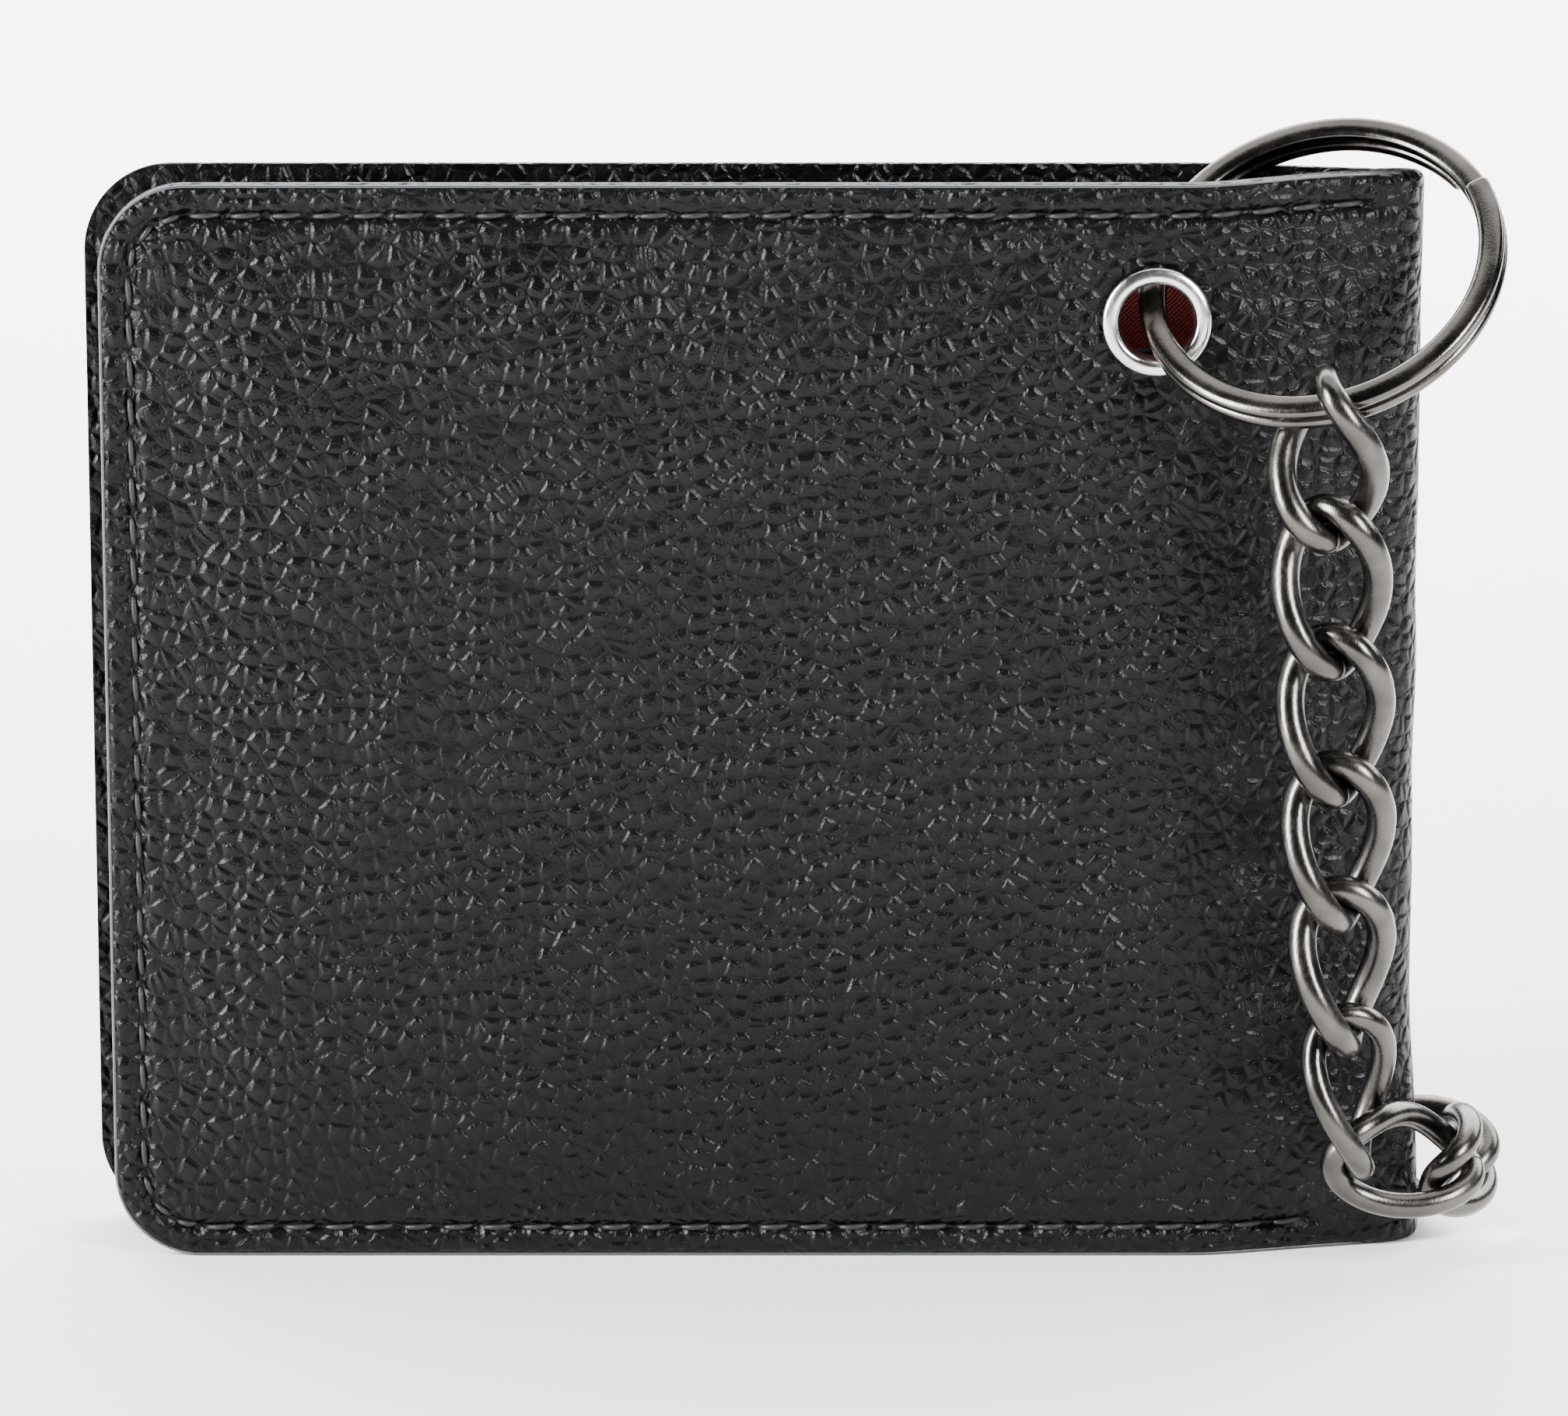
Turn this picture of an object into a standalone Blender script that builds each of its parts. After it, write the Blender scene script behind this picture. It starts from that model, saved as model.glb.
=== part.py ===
"""Bifold chain wallet: padded leather halves that fold at the spine, a split
key ring through an eyelet, a curb chain that wraps the foot of the spine, and
a swivel snap at its free end.  Dimensions are millimetres; the wallet stands on
its long edge, X runs along the cover towards the spine, -Y is the front."""
import math

import bmesh
import bpy
from mathutils import Matrix, Vector

MM = 0.001

# ---- where the wallet's middle stands in the object's frame ------------------
SHIFT = Vector((-2.94, 0.2, 0.0))

# ---- covers ------------------------------------------------------------------
HEIGHT = 95.25            # closed height, along the spine
FRONT_LEFT = -57.15       # free edge of the front cover
BACK_LEFT = -59.4         # the back cover reaches a little further
FOLD_X = 53.0             # both covers end here; the fold turns about this line
HALF_THICK = 7.5          # from the middle plane to a cover's outer face
FOLD_HALF = 3.9           # the same, beside the fold
CORNER = 7.6              # outline radius at the free corners
SHELL = 1.9               # leather, padding and turned edge together
CROWN = 0.55              # how far the padded middle stands proud of its border
SEAM_INSET = 2.7          # stitch line, in from the edge
GROOVE = 0.4              # depth the stitches pull the leather down
TOP_RISE = 0.6            # the top edge climbs a little towards the spine

# ---- layers inside one half, outer face to inner face, as distance from middle
LINING = (5.3, 4.9)
BILL_LINING = (4.3, 3.9)
INNER_PANEL = (3.6, 2.8)
POCKETS = ((2.5, 2.0, 70.0), (1.7, 1.2, 58.0), (0.9, 0.4, 46.0))
INNER_TOP = 82.0          # the bill compartment is open above this panel

# ---- spine -------------------------------------------------------------------
SPINE_LEATHER = 1.6
SPINE_FLARE = 1.2         # the foot of the spine bulges outwards
FLARE_HEIGHT = 26.0

# ---- stitching ---------------------------------------------------------------
STITCH = 3.5
THREAD = 0.28

# ---- eyelet ------------------------------------------------------------------
EYELET = Vector((33.8, 0.0, 83.5))
EYELET_OUTER = 4.7
EYELET_HOLE = 3.2
EYELET_BARREL = 3.55

# ---- split ring --------------------------------------------------------------
RING_CENTRE = Vector((47.9, -7.85, 87.9))
RING_RADIUS = 14.98       # to the middle of the wire
RING_TILT = 48.4          # degrees that its top leans back
RING_TURN = -21.0         # degrees it is turned about the vertical
COIL_PITCH = 1.12
COIL_HALF_WIDTH = 1.02    # along the ring's radius
COIL_HALF_THICK = 0.5     # along the ring's axis
COIL_START = 48.0         # degrees round the ring where the outer coil ends

# ---- curb chain --------------------------------------------------------------
WIRE = 1.0                # radius of the link wire
LINK_HALF_LENGTH = 7.97   # outside
LINK_HALF_WIDTH = 5.0     # outside
LINK_TWIST = 45.0         # degrees each end is turned from the link's middle
FIRST_TWIST = 90.0        # the top of link 1, turned square to the key ring
LINK_STEPS = 20
LINK_SIDES = 6
# points where one link hangs in the next, from the key ring down the front of
# the cover, round the foot of the spine and along the back cover
HANG = (
    (47.6, -18.75, 79.0),
    (48.1, -18.1, 67.75),
    (48.7, -17.4, 56.5),
    (49.2, -16.7, 45.25),
    (49.7, -16.0, 34.0),
    (50.4, -15.3, 22.75),
    (51.57, -14.09, 10.99),
    (60.15, -9.83, 9.24),
    (62.77, 0.13, 7.03),
    (55.71, 7.91, 5.82),
    (45.3, 11.8, 5.5),
    (34.1, 13.2, 5.3),
    (22.95, 14.0, 5.3),
    (11.75, 14.7, 5.3),
    (0.55, 15.3, 5.3),
    (-10.7, 15.8, 5.3),
)
# the foot of link 6, which hangs lower than the link that leaves it sideways
SLACK = {6: (51.8, -14.4, 11.45)}
# direction of a link's width at its middle, where it isn't simply across
ROLL = {
    2: (0.995, 0.105, 0.0),
    3: (0.970, 0.242, 0.0),
    4: (0.914, 0.407, 0.0),
    5: (0.799, 0.602, 0.0),
    6: (0.640, 0.755, 0.142),
    7: (0.047, 0.298, 0.953),
    8: (0.042, 0.206, 0.978),
    9: (0.041, 0.189, 0.981),
    10: (-0.007, 0.065, 0.998),
    11: (-0.029, -0.092, 0.995),
}

# ---- swivel snap -------------------------------------------------------------
SNAP_DROOP = 6.0          # degrees it slopes down to rest on its hook
EYE_RADIUS = 4.0
EYE_WIRE = 1.1

ROOT = None


def half_thickness(x):
    """Distance of a cover's outer face from the middle plane at station x."""
    stations = ((38.6, HALF_THICK), (42.0, 6.8), (46.0, 5.6), (50.0, 4.6), (53.0, FOLD_HALF))
    if x <= stations[0][0]:
        return HALF_THICK
    for (xa, ha), (xb, hb) in zip(stations, stations[1:]):
        if x <= xb:
            return ha + (hb - ha) * (x - xa) / (xb - xa)
    return FOLD_HALF


def smooth(t):
    t = min(max(t, 0.0), 1.0)
    return t * t * (3.0 - 2.0 * t)


def top_of(x, left=FRONT_LEFT):
    """Height of a cover's top edge; only the front one climbs to the spine."""
    if left == BACK_LEFT:
        return HEIGHT
    return HEIGHT + TOP_RISE * smooth((x - 36.0) / 15.0)


def corner_cut(x, left, radius):
    """How much the rounded free corner takes off the height at station x."""
    run = x - left
    if run >= radius:
        return 0.0
    return radius - math.sqrt(max(radius * radius - (radius - run) ** 2, 0.0))


def edge_distance(x, z, left):
    """Distance from the outline, which is open along the spine."""
    low, high = z, top_of(x, left) - z
    near = min(low, high)
    run = x - left
    if run < CORNER and near < CORNER:
        return CORNER - math.hypot(CORNER - run, CORNER - near)
    return min(run, near)


def relief(distance):
    """Height of the outer face over its border, by distance from the edge."""
    marks = ((0.0, -0.75), (0.35, -0.2), (0.9, 0.0), (1.9, 0.0), (SEAM_INSET, -GROOVE),
             (3.6, 0.05), (6.5, 0.4), (12.0, CROWN))
    if distance >= marks[-1][0]:
        return CROWN
    for (da, ra), (db, rb) in zip(marks, marks[1:]):
        if distance <= db:
            return ra + (rb - ra) * (max(distance, 0.0) - da) / (db - da)
    return CROWN


# ---- materials and objects ---------------------------------------------------
def material(name, colour, metallic, roughness):
    mat = bpy.data.materials.new(name)
    mat.use_nodes = True
    shader = mat.node_tree.nodes["Principled BSDF"]
    shader.inputs["Base Color"].default_value = (*colour, 1.0)
    shader.inputs["Metallic"].default_value = metallic
    shader.inputs["Roughness"].default_value = roughness
    return mat


def finish(name, bm, look, round_piece=False, origin=(0.0, 0.0, 0.0)):
    """Close the mesh, put it under the root and give it its own material."""
    bmesh.ops.remove_doubles(bm, verts=bm.verts, dist=0.00001)
    bmesh.ops.recalc_face_normals(bm, faces=bm.faces)
    mesh = bpy.data.meshes.new(name)
    at = Vector(origin)
    for vert in bm.verts:
        vert.co = (vert.co - at) * MM
    bm.to_mesh(mesh)
    bm.free()
    mesh.materials.append(material(name, *look))
    for poly in mesh.polygons:
        poly.use_smooth = round_piece
    obj = bpy.data.objects.new(name, mesh)
    bpy.context.scene.collection.objects.link(obj)
    obj.parent = ROOT
    obj.location = at * MM
    return obj


def loft(bm, sections, closed=False):
    """Skin rings of equal length; open ends are capped."""
    rings = [[bm.verts.new(point) for point in section] for section in sections]
    count = len(rings[0])
    pairs = list(zip(rings, rings[1:]))
    if closed:
        pairs.append((rings[-1], rings[0]))
    for a, b in pairs:
        for i in range(count):
            j = (i + 1) % count
            bm.faces.new((a[i], a[j], b[j], b[i]))
    if not closed:
        bm.faces.new(rings[0])
        bm.faces.new(rings[-1])


def frame_along(direction, across):
    """Unit axes (along, width, side) with width taken from across."""
    along = direction.normalized()
    width = (across - along * across.dot(along)).normalized()
    return along, width, along.cross(width)


def sweep(bm, points, radius, sides, closed=False, first=Vector((0.0, 0.0, 1.0))):
    """A round bar through points, carried without twist."""
    count = len(points)
    sections = []
    across = first
    for i, point in enumerate(points):
        before = points[(i - 1) % count] if closed or i else points[0]
        after = points[(i + 1) % count] if closed or i < count - 1 else points[-1]
        along, across, side = frame_along(after - before, across)
        ring = []
        for k in range(sides):
            turn = math.tau * (k + 0.5) / sides
            ring.append(point + (across * math.cos(turn) + side * math.sin(turn)) * radius)
        sections.append(ring)
    loft(bm, sections, closed)


def lathe(bm, profile, centre, axis, steps):
    """Turn a closed (radius, height) profile about an axis."""
    helper = Vector((1.0, 0.0, 0.0)) if abs(axis.x) < 0.9 else Vector((0.0, 0.0, 1.0))
    along, across, side = frame_along(axis, helper)
    sections = []
    for k in range(steps):
        turn = math.tau * k / steps
        out = across * math.cos(turn) + side * math.sin(turn)
        sections.append([centre + out * r + along * h for r, h in profile])
    loft(bm, sections, closed=True)


def cylinder(bm, start, end, radius, steps):
    along, across, side = frame_along(end - start, Vector((0.31, 0.52, 0.79)))
    sections = []
    for point in (start, end):
        ring = []
        for k in range(steps):
            turn = math.tau * k / steps
            ring.append(point + (across * math.cos(turn) + side * math.sin(turn)) * radius)
        sections.append(ring)
    loft(bm, sections)


def combine(obj, tool, operation):
    """Join another solid to this one, or cut it away, and drop the tool."""
    step = obj.modifiers.new(operation.lower(), "BOOLEAN")
    step.operation = operation
    step.solver = "EXACT"
    step.object = tool
    tool.hide_render = True
    tool.display_type = "WIRE"
    bpy.context.view_layer.update()
    graph = bpy.context.evaluated_depsgraph_get()
    mesh = bpy.data.meshes.new_from_object(obj.evaluated_get(graph))
    obj.modifiers.clear()
    old = obj.data
    obj.data = mesh
    bpy.data.meshes.remove(old)
    mesh.name = obj.name
    bpy.data.objects.remove(tool, do_unlink=True)


# ---- leather -----------------------------------------------------------------
BLACK = ((0.018, 0.018, 0.019), 0.0, 0.45)
INTERIOR = ((0.03, 0.028, 0.028), 0.0, 0.55)
RED = ((0.20, 0.012, 0.014), 0.0, 0.6)
THREAD_LOOK = ((0.012, 0.012, 0.012), 0.0, 0.7)
NICKEL = ((0.72, 0.71, 0.68), 1.0, 0.22)
GUNMETAL = ((0.23, 0.22, 0.21), 1.0, 0.3)


def stations(left):
    """Cover stations: close together at the rolled free edge and the fold."""
    near = (0.0, 0.35, 0.9, 1.9, 2.7, 3.6, 5.2, 7.6, 12.0)
    out = [left + d for d in near]
    out += [-30.0, -8.0, 14.0, 28.0, 38.6, 42.0, 46.0, 50.0, FOLD_X]
    return out


def shell(name, left, facing):
    """One cover: padded outer face with a sunk seam, flat inside."""
    bm = bmesh.new()
    near = (0.0, 0.35, 0.9, 1.9, 2.7, 3.6, 6.5, 12.0)
    sections = []
    for x in stations(left):
        cut = min(corner_cut(x, left, CORNER), CORNER)
        low, high = cut, top_of(x, left) - cut
        rows = [low + d for d in near] + [high - d for d in reversed(near)]
        half = half_thickness(x)
        inner = half - SHELL
        ring = []
        for z in rows:
            rise = relief(edge_distance(x, z, left))
            ring.append(Vector((x, facing * (half + rise), z)))
        ring.append(Vector((x, facing * inner, high)))
        ring.append(Vector((x, facing * inner, low)))
        sections.append(ring)
    loft(bm, sections)
    return finish(name, bm, BLACK)


def layer(name, span, depths, tops, facing, look):
    """A flat ply that thins with the wallet towards the fold."""
    bm = bmesh.new()
    x_from, x_to = span
    marks = [x_from] + [x for x in (38.6, 42.0, 46.0, 50.0) if x_from < x < x_to] + [x_to]
    sections = []
    for x in marks:
        scale = (half_thickness(x) - SHELL) / (HALF_THICK - SHELL)
        outer, inner = depths[0] * scale, depths[1] * scale
        low, high = tops
        sections.append([
            Vector((x, facing * outer, low)),
            Vector((x, facing * outer, high)),
            Vector((x, facing * inner, high)),
            Vector((x, facing * inner, low)),
        ])
    loft(bm, sections)
    return finish(name, bm, look)


def seam_path(left):
    """Points along the stitch line: top edge, free edge, bottom edge."""
    radius = CORNER - SEAM_INSET
    points = []
    count = round((FOLD_X - 1.0 - left - CORNER) / STITCH)
    step = (FOLD_X - 1.0 - left - CORNER) / count
    for i in range(count + 1):
        x = FOLD_X - 1.0 - i * step
        points.append((x, top_of(x, left) - SEAM_INSET))
    centre = (left + CORNER, HEIGHT - CORNER)
    for k in (1, 2):
        turn = math.radians(90.0 + 30.0 * k)
        points.append((centre[0] + radius * math.cos(turn), centre[1] + radius * math.sin(turn)))
    rows = round((HEIGHT - 2 * CORNER) / STITCH)
    for i in range(rows + 1):
        z = HEIGHT - CORNER - (HEIGHT - 2 * CORNER) * i / rows
        points.append((left + SEAM_INSET, z))
    centre = (left + CORNER, CORNER)
    for k in (1, 2):
        turn = math.radians(180.0 + 30.0 * k)
        points.append((centre[0] + radius * math.cos(turn), centre[1] + radius * math.sin(turn)))
    count = round((48.0 - left - CORNER) / STITCH)
    step = (48.0 - left - CORNER) / count
    for i in range(count + 1):
        x = left + CORNER + i * step
        points.append((x, SEAM_INSET))
    return points


def stitching(name, left, facing):
    """The thread, laid over the seam and dipping at every stitch."""
    bm = bmesh.new()
    points = []
    for i, (x, z) in enumerate(seam_path(left)):
        lift = 0.42 + (0.16 if i % 2 else 0.0)
        points.append(Vector((x, facing * (half_thickness(x) + lift), z)))
    sweep(bm, points, THREAD, 4, first=Vector((0.0, 1.0, 0.0)))
    return finish(name, bm, THREAD_LOOK)


def spine():
    """The leather between the covers, bent round the fold."""
    bm = bmesh.new()
    outer = FOLD_HALF
    inner = outer - SPINE_LEATHER
    start = FOLD_X + 0.3
    reach = 57.15 - start
    sections = []
    for z in (0.4, 6.0, 13.0, 20.0, FLARE_HEIGHT, 60.0, HEIGHT - 0.2):
        bulge = SPINE_FLARE * (1.0 - smooth(z / FLARE_HEIGHT))
        ring = []
        for k in range(11):
            turn = math.radians(-90.0 + 18.0 * k)
            ring.append(Vector((start + (reach + bulge) * math.cos(turn),
                                outer * math.sin(turn), z)))
        for k in range(10, -1, -1):
            turn = math.radians(-90.0 + 18.0 * k)
            ring.append(Vector((start + (reach + bulge - SPINE_LEATHER) * math.cos(turn),
                                inner * math.sin(turn), z)))
        sections.append(ring)
    loft(bm, sections)
    return finish("spine_leather", bm, BLACK, True, (FOLD_X, 0.0, 0.0))


# ---- metal fittings ----------------------------------------------------------
def eyelet():
    """A rolled flange outside, its barrel through the cover, and a washer."""
    face = -(HALF_THICK + CROWN) - 0.2
    back = -(HALF_THICK - SHELL) + 0.25
    centre = Vector((EYELET.x, 0.0, EYELET.z))
    axis = Vector((0.0, 1.0, 0.0))
    profile = [
        (EYELET_OUTER, face), (EYELET_OUTER - 0.1, face - 0.35),
        (EYELET_OUTER - 0.6, face - 0.6), (EYELET_HOLE + 0.45, face - 0.45),
        (EYELET_HOLE, face), (EYELET_HOLE, back + 0.1),
        (EYELET_BARREL, back + 0.1), (EYELET_BARREL, face),
    ]
    bm = bmesh.new()
    lathe(bm, profile, centre, axis, 28)
    finish("eyelet", bm, NICKEL, True)
    bm = bmesh.new()
    washer = [
        (EYELET_BARREL + 0.12, back - 0.02), (EYELET_OUTER + 0.2, back - 0.02),
        (EYELET_OUTER + 0.2, back + 0.3), (EYELET_BARREL + 0.12, back + 0.45),
    ]
    lathe(bm, washer, centre, axis, 28)
    finish("eyelet_washer", bm, NICKEL, True)


def ring_axes():
    """The ring's own axes: across, up its slope, and its axle."""
    tilt, turn = math.radians(RING_TILT), math.radians(RING_TURN)
    axle = Vector((math.sin(tilt) * math.sin(turn), -math.cos(tilt),
                   math.sin(tilt) * math.cos(turn)))
    across = Vector((0.0, 0.0, 1.0)).cross(axle).normalized()
    return across, axle.cross(across), axle


def key_ring():
    """Two turns of flattened wire, each lying on the other."""
    across, slope, axle = ring_axes()
    section = []
    for radial, axial in ((-1.0, -0.45), (-1.0, 0.45), (-0.6, 1.0), (0.6, 1.0),
                          (1.0, 0.45), (1.0, -0.45), (0.6, -1.0), (-0.6, -1.0)):
        section.append((radial * COIL_HALF_WIDTH, axial * COIL_HALF_THICK))
    steps = 60
    sections = []
    for i in range(steps + 1):
        turns = 1.97 * i / steps
        angle = math.radians(COIL_START) + math.tau * turns
        out = across * math.cos(angle) + slope * math.sin(angle)
        shift = COIL_PITCH * (turns - 0.985)
        sections.append([RING_CENTRE + out * (RING_RADIUS + r) + axle * (shift + a)
                         for r, a in section])
    bm = bmesh.new()
    loft(bm, sections)
    finish("key_ring", bm, GUNMETAL, True, EYELET)


def link(number, start, end, across):
    """A curb link: a long ring whose two ends are turned opposite ways."""
    first = math.radians(FIRST_TWIST if number == 1 else LINK_TWIST)
    last = -math.radians(LINK_TWIST)
    along, width, side = frame_along(end - start, across)
    middle = (start + end) / 2
    half_long = LINK_HALF_LENGTH - WIRE
    half_wide = LINK_HALF_WIDTH - WIRE
    points = []
    for k in range(LINK_STEPS):
        angle = math.tau * k / LINK_STEPS
        q = -half_long * math.cos(angle)
        w = half_wide * math.sin(angle) * (1.0 + 0.10 * math.cos(angle) ** 2)
        turn = first + (last - first) * (q / half_long + 1.0) / 2
        points.append(middle + along * q
                      + (width * math.cos(turn) + side * math.sin(turn)) * w)
    bm = bmesh.new()
    sections = []
    for k, point in enumerate(points):
        ahead = points[(k + 1) % LINK_STEPS] - points[k - 1]
        outward = point - middle
        direction, out, up = frame_along(ahead, outward)
        ring = []
        for s in range(LINK_SIDES):
            turn = math.tau * s / LINK_SIDES
            ring.append(point + (out * math.cos(turn) + up * math.sin(turn)) * WIRE)
        sections.append(ring)
    loft(bm, sections, closed=True)
    finish("chain_link_%02d" % number, bm, GUNMETAL, True, start)


def chain():
    places = [Vector(p) for p in HANG]
    for number, (start, end) in enumerate(zip(places, places[1:]), 1):
        across = Vector(ROLL.get(number, (1.0, 0.0, 0.0)))
        if number > 11:
            across = Vector((0.0, 0.0, 1.0))
        link(number, start, Vector(SLACK.get(number, end)), across)


def snap():
    """Swivel eye, hook body and sprung gate, drooping from the last link."""
    hang = Vector(HANG[-1])
    droop = Matrix.Rotation(math.radians(-SNAP_DROOP), 3, "Y")

    def at(along, up, out=0.0):
        """Point along the snap's own axis, which runs towards the free edge."""
        return hang + droop @ Vector((-along, out, up))

    # the eye stands across the last link; its post turns inside the hook's collar
    centre = EYE_RADIUS - EYE_WIRE - 0.15
    bm = bmesh.new()
    eye = []
    for k in range(20):
        angle = math.tau * k / 20
        eye.append(at(centre + EYE_RADIUS * math.cos(angle), 0.0,
                      EYE_RADIUS * math.sin(angle)))
    sweep(bm, eye, EYE_WIRE, 8, closed=True, first=Vector((0.0, 0.0, 1.0)))
    body = finish("snap_eye", bm, GUNMETAL, True, hang)
    bm = bmesh.new()
    cylinder(bm, at(centre + EYE_RADIUS, 0.0), at(centre + EYE_RADIUS + 7.6, 0.0), 0.9, 10)
    combine(body, finish("post", bm, GUNMETAL), "UNION")
    bm = bmesh.new()
    cylinder(bm, at(centre + EYE_RADIUS + 6.2, 0.0), at(centre + EYE_RADIUS + 7.4, 0.0), 1.7, 12)
    combine(body, finish("button", bm, GUNMETAL), "UNION")

    # hook body: collar round the post, then a J that comes back to the gate
    collar = centre + EYE_RADIUS + 1.6
    bm = bmesh.new()
    along = at(1.0, 0.0) - at(0.0, 0.0)
    lathe(bm, [(1.2, 0.0), (2.9, 0.0), (3.2, 0.6), (3.2, 3.4), (2.9, 4.0), (1.2, 4.0)],
          at(collar, 0.0), along, 20)
    hook = finish("snap_hook", bm, GUNMETAL, True, hang)
    bend = []
    root = collar + 3.0
    bend.append(at(root, 0.0, -2.6))
    bend.append(at(root + 2.5, 0.0, -4.3))
    bend.append(at(root + 7.0, 0.0, -5.2))
    bend.append(at(root + 12.0, 0.0, -5.2))
    for k in range(9):
        angle = math.radians(-90.0 + 22.5 * k)
        bend.append(at(root + 14.0 + 5.2 * math.cos(angle), 0.0, 5.2 * math.sin(angle)))
    bend.append(at(root + 12.2, 0.0, 5.2))
    bm = bmesh.new()
    sweep(bm, bend, 1.25, 10, first=Vector((0.0, 1.0, 0.0)))
    combine(hook, finish("bend", bm, GUNMETAL), "UNION")

    # a lug on the collar carries the gate
    bm = bmesh.new()
    cylinder(bm, at(collar + 2.0, 0.0, 2.2), at(collar + 4.9, 0.0, 3.9), 0.95, 10)
    combine(hook, finish("lug", bm, GUNMETAL), "UNION")
    gate_start = at(collar + 6.5, 0.0, 4.35)
    gate_end = at(root + 11.9 - 0.2, 0.0, 5.2)
    bm = bmesh.new()
    cylinder(bm, gate_start, gate_end, 1.0, 10)
    gate = finish("snap_gate", bm, GUNMETAL, True, gate_start)
    return gate


def build():
    global ROOT
    for obj in list(bpy.data.objects):
        bpy.data.objects.remove(obj, do_unlink=True)
    ROOT = bpy.data.objects.new("wallet", None)
    bpy.context.scene.collection.objects.link(ROOT)
    ROOT.location = SHIFT * MM

    front = shell("front_cover", FRONT_LEFT, -1.0)
    shell("back_cover", BACK_LEFT, 1.0)
    spine()
    linings = {}
    for side, left, facing in (("front", FRONT_LEFT, -1.0), ("back", BACK_LEFT, 1.0)):
        inside = left + 2.0
        linings[side] = layer(side + "_lining", (inside, 51.0), LINING,
                              (1.5, HEIGHT - 1.5), facing, RED)
        layer(side + "_bill_lining", (inside, 49.0), BILL_LINING,
              (1.5, INNER_TOP), facing, RED)
        layer(side + "_inner_panel", (inside, 49.0), INNER_PANEL,
              (1.5, INNER_TOP), facing, INTERIOR)
        for row, (outer, inner, top) in enumerate(POCKETS, 1):
            layer("%s_pocket_%d" % (side, row), (inside + 1.0, 38.0), (outer, inner),
                  (2.0, top), facing, INTERIOR)
        stitching(side + "_stitching", left, facing)

    reach = Vector((0.0, 20.0, 0.0))
    middle = Vector((EYELET.x, -8.0, EYELET.z))
    for obj, radius in ((front, EYELET_BARREL + 0.25), (linings["front"], EYELET_OUTER + 0.6)):
        bm = bmesh.new()
        start = middle - Vector((0.0, 4.0, 0.0))
        cylinder(bm, start, start + reach * 0.5, radius, 28)
        combine(obj, finish("punch", bm, BLACK), "DIFFERENCE")

    eyelet()
    key_ring()
    chain()
    snap()


build()
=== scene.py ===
"""Looks of the bifold chain wallet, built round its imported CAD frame.  Lengths
are millimetres in the wallet's own frame (its middle at X 0, Y 0, floor at Z 0,
-Y the front) until place() turns them into metres in the row frame."""
import math

import bmesh
import bpy
import numpy as np
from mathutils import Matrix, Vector


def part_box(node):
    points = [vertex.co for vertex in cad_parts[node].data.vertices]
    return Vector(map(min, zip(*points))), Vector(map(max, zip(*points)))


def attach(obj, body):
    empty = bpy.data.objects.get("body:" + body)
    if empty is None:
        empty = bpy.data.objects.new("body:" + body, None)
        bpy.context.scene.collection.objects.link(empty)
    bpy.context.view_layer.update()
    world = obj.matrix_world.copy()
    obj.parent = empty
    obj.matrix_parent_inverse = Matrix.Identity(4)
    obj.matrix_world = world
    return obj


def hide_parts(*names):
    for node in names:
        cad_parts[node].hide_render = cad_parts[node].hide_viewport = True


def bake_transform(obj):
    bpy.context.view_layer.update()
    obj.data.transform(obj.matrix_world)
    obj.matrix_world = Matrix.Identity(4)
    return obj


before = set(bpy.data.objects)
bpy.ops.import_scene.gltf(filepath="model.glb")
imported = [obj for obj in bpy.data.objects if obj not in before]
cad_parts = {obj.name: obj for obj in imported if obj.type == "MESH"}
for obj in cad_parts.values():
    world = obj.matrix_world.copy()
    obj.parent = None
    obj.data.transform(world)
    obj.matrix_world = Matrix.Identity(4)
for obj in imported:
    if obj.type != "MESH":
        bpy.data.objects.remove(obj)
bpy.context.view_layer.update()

MM = 0.001
FRONT_LEFT, BACK_LEFT, FOLD_X = -57.15, -59.4, 53.0   # free edges and fold line
HEIGHT, CORNER, TOP_RISE = 95.25, 7.6, 0.6            # the front rises a little at the fold
HALF_THICK, FOLD_HALF, SHELL = 7.5, 3.9, 1.9          # half of the wallet, of the fold; leather
SEAM_INSET, STITCH = 2.7, 3.5                         # seam from the edge, stitch length
EDGE_ROLL = 0.95                                      # radius of the turned edge
CUT_ROLL = 0.35                                       # the same on the plies inside
NEEDLE_DEPTH = 0.36                                   # how deep the seam sinks
SHIFT = np.array([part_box("front_cover")[0].x / MM - FRONT_LEFT,
                  (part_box("front_cover")[0].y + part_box("back_cover")[1].y) / 2 / MM, 0.0])
EYELET = np.array([33.8, 0.0, 83.5])


# ---- small maths -------------------------------------------------------------
def smooth(t):
    """Ease from 0 to 1 as t goes from 0 to 1."""
    t = np.clip(t, 0.0, 1.0)
    return t * t * (3.0 - 2.0 * t)


def unit(v):
    v = np.asarray(v, float)
    return v / np.linalg.norm(v)


def ripple(a, b, length, seed, waves=14):
    """Smooth random relief of about that wavelength, within -1 and 1."""
    rng = np.random.default_rng(seed)
    out = np.zeros(np.broadcast(a, b).shape)
    for _ in range(waves):
        turn, phase = rng.uniform(0, math.tau, 2)
        k = math.tau / (length * rng.uniform(0.7, 1.5))
        out += np.sin(k * (a * math.cos(turn) + b * math.sin(turn)) + phase)
    return out / math.sqrt(waves) / 1.6


def half_thickness(x):
    """Outer face of a cover from the middle plane, eased into the fold."""
    marks = np.array([(30.0, HALF_THICK), (38.6, HALF_THICK), (42.0, 6.8), (46.0, 5.6),
                      (50.0, 4.6), (FOLD_X, FOLD_HALF), (60.0, 2.3)])
    x = np.asarray(x, float)
    return sum(np.interp(x + d, marks[:, 0], marks[:, 1])
               for d in (-1.6, -0.8, 0.0, 0.8, 1.6)) / 5


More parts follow.
